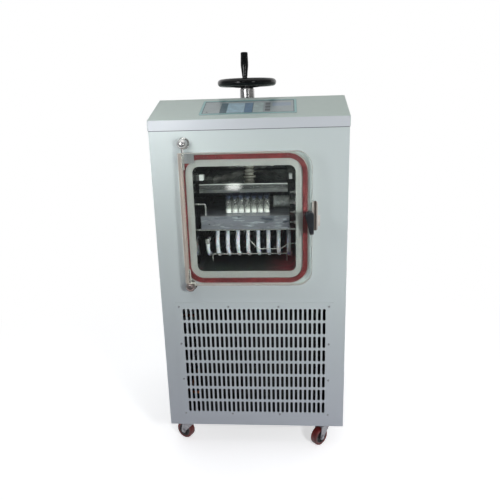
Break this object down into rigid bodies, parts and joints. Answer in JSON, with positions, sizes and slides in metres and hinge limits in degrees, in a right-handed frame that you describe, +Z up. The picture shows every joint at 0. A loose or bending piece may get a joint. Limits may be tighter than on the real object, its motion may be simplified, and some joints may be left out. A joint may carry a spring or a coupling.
{
  "type": "freeze dryer",
  "caption": "Floor-standing laboratory freeze dryer with a clear side-hinged chamber door, heated shelf, cold coil, stoppering press with handwheel, intake grille and swivel casters.",
  "frame": {"origin": "on the floor, under the middle of the outer box", "axes": "+X to the right of a person facing the door, +Y towards the back, +Z up"},
  "size_m": [0.604, 0.7574, 1.3225],
  "materials": {
    "cabinet_paint": "fine powder coat, satin",
    "inner_sheet": "satin",
    "screw_steel": "bright zinc",
    "stainless": "bright rolled",
    "polished_steel": "polished",
    "red_gasket": "satin silicone",
    "clear_acrylic": "clear, polished edges",
    "frosted_tube": "frosted white",
    "white_lead": "satin",
    "white_nylon": "satin",
    "heater_mat": "matt",
    "vial_glass": "clear",
    "dried_cake": "powdery",
    "stopper_rubber": "matt",
    "console_film": "satin membrane",
    "display": "glossy",
    "black_plastic": "glossy black",
    "caster_steel": "zinc plated",
    "red_tread": "satin polyurethane",
    "radiator_fins": "plain fins",
    "motor_paint": "satin black",
    "copper": "bare copper"
  },
  "bodies": {
    "cabinet": {"front_panel": "cabinet_paint", "left_side_panel": "cabinet_paint", "right_side_panel": "cabinet_paint", "rear_panel": "cabinet_paint", "top_cover": "cabinet_paint", "grille_panel": "cabinet_paint", "base_tray": "inner_sheet", "cabinet_frame": "inner_sheet", "radiator_stand": "inner_sheet", "electrical_box": "inner_sheet", "fan_shroud": "inner_sheet", "grille_screws": "screw_steel", "vacuum_chamber": "stainless", "shelf": "stainless", "chamber_fittings": "stainless", "coil_cradle": "stainless", "shelf_hose": "stainless", "press_column": "polished_steel", "hinge_posts": "polished_steel", "hinge_pins": "polished_steel", "latch_keeper": "polished_steel", "vacuum_port": "polished_steel", "door_gasket": "red_gasket", "condenser_coil": "frosted_tube", "sensor_lead": "white_lead", "plate_guides": "white_nylon", "shelf_heater": "heater_mat", "vials": "vial_glass", "dried_cakes": "dried_cake", "vial_stoppers": "stopper_rubber", "compressor_mounts": "stopper_rubber", "console_overlay": "console_film", "display_module": "display", "power_inlet": "black_plastic", "caster_mounts": "caster_steel", "radiator": "radiator_fins", "fan_motor": "motor_paint", "compressor": "motor_paint", "refrigerant_pipes": "copper", "filter_drier": "copper", "drain_pipe": "copper"},
    "door": {"door_plate": "clear_acrylic", "door_corner_plate": "stainless"},
    "latch": {"latch_lever": "black_plastic", "latch_shaft": "stainless"},
    "wheel": {"handwheel": "black_plastic", "press_screw": "polished_steel", "crank_pin": "polished_steel"},
    "crank": {"crank_grip": "black_plastic"},
    "press": {"press_plunger": "polished_steel", "press_plate": "stainless"},
    "fan": {"fan_rotor": "black_plastic"},
    "swivel_front_right": {"caster_fork_front_right": "caster_steel"},
    "roller_front_right": {"caster_wheel_front_right": "red_tread"},
    "swivel_front_left": {"caster_fork_front_left": "caster_steel"},
    "roller_front_left": {"caster_wheel_front_left": "red_tread"},
    "swivel_rear_right": {"caster_fork_rear_right": "caster_steel"},
    "roller_rear_right": {"caster_wheel_rear_right": "red_tread"},
    "swivel_rear_left": {"caster_fork_rear_left": "caster_steel"},
    "roller_rear_left": {"caster_wheel_rear_left": "red_tread"}
  },
  "joints": [
    {"name": "door_hinge", "type": "hinge", "parent": "cabinet", "child": "door", "pos_m": [-0.195, -0.33665, 0.8245], "axis": [0, 0, -1], "range_deg": [0, 120]},
    {"name": "latch_turn", "type": "hinge", "parent": "door", "child": "latch", "pos_m": [0.181, -0.35765, 0.843], "axis": [0, -1, 0], "range_deg": [0, 90]},
    {"name": "handwheel_turn", "type": "hinge", "parent": "cabinet", "child": "wheel", "pos_m": [-0.015, -0.07935, 1.216], "axis": [0, 0, 1], "range_deg": [0, 1440]},
    {"name": "press_slide", "type": "slide", "parent": "cabinet", "child": "press", "axis": [0, 0, -1], "range_m": [0, 0.016]},
    {"name": "crank_spin", "type": "hinge", "parent": "wheel", "child": "crank", "pos_m": [-0.015, -0.16485, 1.25], "axis": [0, 0, 1], "continuous": true},
    {"name": "fan_spin", "type": "hinge", "parent": "cabinet", "child": "fan", "pos_m": [0.002, -0.19735, 0.323], "axis": [0, 1, 0], "continuous": true},
    {"name": "swivel_front_right", "type": "hinge", "parent": "cabinet", "child": "swivel_front_right", "pos_m": [0.238, -0.26635, 0.088], "axis": [0, 0, 1], "continuous": true},
    {"name": "roll_front_right", "type": "hinge", "parent": "swivel_front_right", "child": "roller_front_right", "pos_m": [0.22032, -0.28403, 0.0315], "axis": [0.7071, -0.7071, 0], "continuous": true},
    {"name": "swivel_front_left", "type": "hinge", "parent": "cabinet", "child": "swivel_front_left", "pos_m": [-0.238, -0.26635, 0.088], "axis": [0, 0, 1], "continuous": true},
    {"name": "roll_front_left", "type": "hinge", "parent": "swivel_front_left", "child": "roller_front_left", "pos_m": [-0.26027, -0.255, 0.0315], "axis": [-0.454, -0.891, 0], "continuous": true},
    {"name": "swivel_rear_right", "type": "hinge", "parent": "cabinet", "child": "swivel_rear_right", "pos_m": [0.238, 0.29365, 0.088], "axis": [0, 0, 1], "continuous": true},
    {"name": "roll_rear_right", "type": "hinge", "parent": "swivel_rear_right", "child": "roller_rear_right", "pos_m": [0.26149, 0.3022, 0.0315], "axis": [-0.342, 0.9397, 0], "continuous": true},
    {"name": "swivel_rear_left", "type": "hinge", "parent": "cabinet", "child": "swivel_rear_left", "pos_m": [-0.238, 0.29365, 0.088], "axis": [0, 0, 1], "continuous": true},
    {"name": "roll_rear_left", "type": "hinge", "parent": "swivel_rear_left", "child": "roller_rear_left", "pos_m": [-0.24655, 0.31714, 0.0315], "axis": [-0.9397, -0.342, 0], "continuous": true}
  ],
  "couplings": [
    {"joint": "press_slide", "follows": "handwheel_turn", "m_per_rad": 0.00063662}
  ]
}
